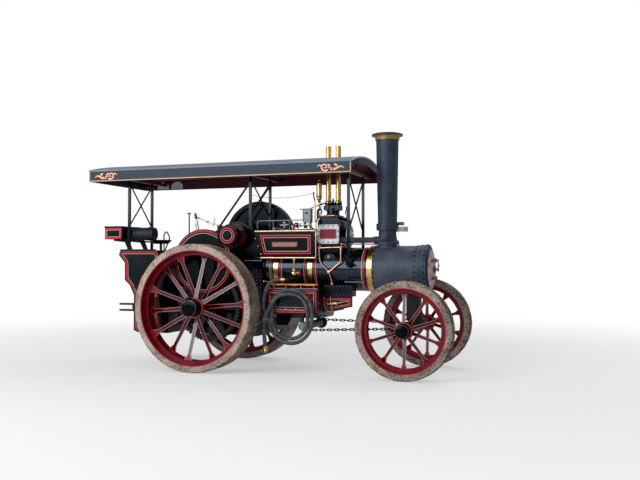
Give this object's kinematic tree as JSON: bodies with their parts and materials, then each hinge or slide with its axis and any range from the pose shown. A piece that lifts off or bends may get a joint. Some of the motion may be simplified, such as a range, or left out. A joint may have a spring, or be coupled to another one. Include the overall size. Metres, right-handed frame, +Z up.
{
  "type": "steam traction engine",
  "caption": "Steam traction engine on spoked, rubber-shod wheels, with a full-length canopy, tall chimney, belly tank with coiled hose, and a coal tender.",
  "frame": {"origin": "on the ground, on the centre line, midway between the canopy's tail and the front tyres' front", "axes": "+X forwards, +Y to the engine's left, +Z up"},
  "size_m": [5.456, 2.29, 3.36],
  "materials": {
    "black_paint": "gloss black coach paint with crimson and cream lining",
    "smokebox_paint": "matt blue-black heat-proof paint",
    "slate_paint": "satin slate-green paint",
    "crimson_paint": "gloss deep crimson paint",
    "bright_steel": "bright machined steel",
    "dark_iron": "black-painted cast iron",
    "brass_metal": "polished brass",
    "copper_metal": "copper pipe, lightly tarnished",
    "tyre_rubber": "worn rubber with dried mud",
    "hose_rubber": "grey ribbed hose rubber",
    "canvas": "black proofed canvas",
    "brake_wood": "plain hardwood"
  },
  "bodies": {
    "engine": {"boiler_barrel": "black_paint", "firebox": "black_paint", "hornplates": "black_paint", "smokebox": "smokebox_paint", "chimney": "smokebox_paint", "chimney_cap": "smokebox_paint", "cylinder_block": "black_paint", "cylinder_covers": "bright_steel", "valve_casting": "dark_iron", "steam_stacks": "brass_metal", "whistle": "brass_metal", "exhaust_pipe": "bright_steel", "motion_work": "bright_steel", "motion_covers": "black_paint", "crank_guard": "black_paint", "gear_case": "black_paint", "crank_drum": "black_paint", "rear_axle": "bright_steel", "belly_tank": "black_paint", "ashpan": "black_paint", "front_bracket": "black_paint", "perch_bracket": "black_paint", "steering_gear": "dark_iron", "tender": "black_paint", "footplate": "black_paint", "drawbar": "black_paint", "tool_box": "black_paint", "sheet_roll": "canvas", "seat": "black_paint", "control_levers": "bright_steel", "brake_block": "brake_wood", "copper_pipes": "copper_metal", "canopy_roof": "slate_paint", "canopy_boards": "slate_paint", "canopy_frame": "black_paint", "front_posts": "black_paint", "mid_posts": "black_paint", "rear_posts": "black_paint", "water_valve": "brass_metal", "hose_tube": "hose_rubber", "hose_end": "hose_rubber", "hose_coil": "hose_rubber", "hose_strainer": "brass_metal"},
    "crank": {"crankshaft": "bright_steel", "flywheel": "black_paint"},
    "steered_axle": {"front_axle": "black_paint", "steering_chains": "dark_iron"},
    "right_front": {"front_wheel_right": "crimson_paint", "front_tyre_right": "tyre_rubber"},
    "left_front": {"front_wheel_left": "crimson_paint", "front_tyre_left": "tyre_rubber"},
    "right_rear": {"rear_wheel_right": "crimson_paint", "rear_tyre_right": "tyre_rubber", "final_gear": "bright_steel"},
    "left_rear": {"rear_wheel_left": "crimson_paint", "rear_tyre_left": "tyre_rubber", "brake_drum": "black_paint"},
    "smoke_door": {"smokebox_door": "smokebox_paint"},
    "stoke_door": {"fire_door": "bright_steel"}
  },
  "joints": [
    {"name": "steering", "type": "hinge", "parent": "engine", "child": "steered_axle", "pos_m": [2.078, 0, 0.65], "axis": [0, 0, 1], "range_deg": [-25, 25], "deforming": ["steering_chains"]},
    {"name": "front_wheel_right_spin", "type": "hinge", "parent": "steered_axle", "child": "right_front", "pos_m": [2.078, -0.78, 0.65], "axis": [0, 1, 0], "continuous": true},
    {"name": "front_wheel_left_spin", "type": "hinge", "parent": "steered_axle", "child": "left_front", "pos_m": [2.078, 0.78, 0.65], "axis": [0, 1, 0], "continuous": true},
    {"name": "rear_wheel_right_spin", "type": "hinge", "parent": "engine", "child": "right_rear", "pos_m": [-0.882, -0.8725, 0.9], "axis": [0, 1, 0], "continuous": true},
    {"name": "rear_wheel_left_spin", "type": "hinge", "parent": "engine", "child": "left_rear", "pos_m": [-0.882, 0.8725, 0.9], "axis": [0, 1, 0], "continuous": true},
    {"name": "crank_spin", "type": "hinge", "parent": "engine", "child": "crank", "pos_m": [-0.495, 0, 1.92], "axis": [0, 1, 0], "continuous": true},
    {"name": "smokebox_door_swing", "type": "hinge", "parent": "engine", "child": "smoke_door", "pos_m": [2.2855, 0.315, 1.44], "axis": [0, 0, 1], "range_deg": [0, 100]},
    {"name": "fire_door_swing", "type": "hinge", "parent": "engine", "child": "stoke_door", "pos_m": [-0.734, 0.19, 1.205], "axis": [0, 0, -1], "range_deg": [0, 100]}
  ]
}
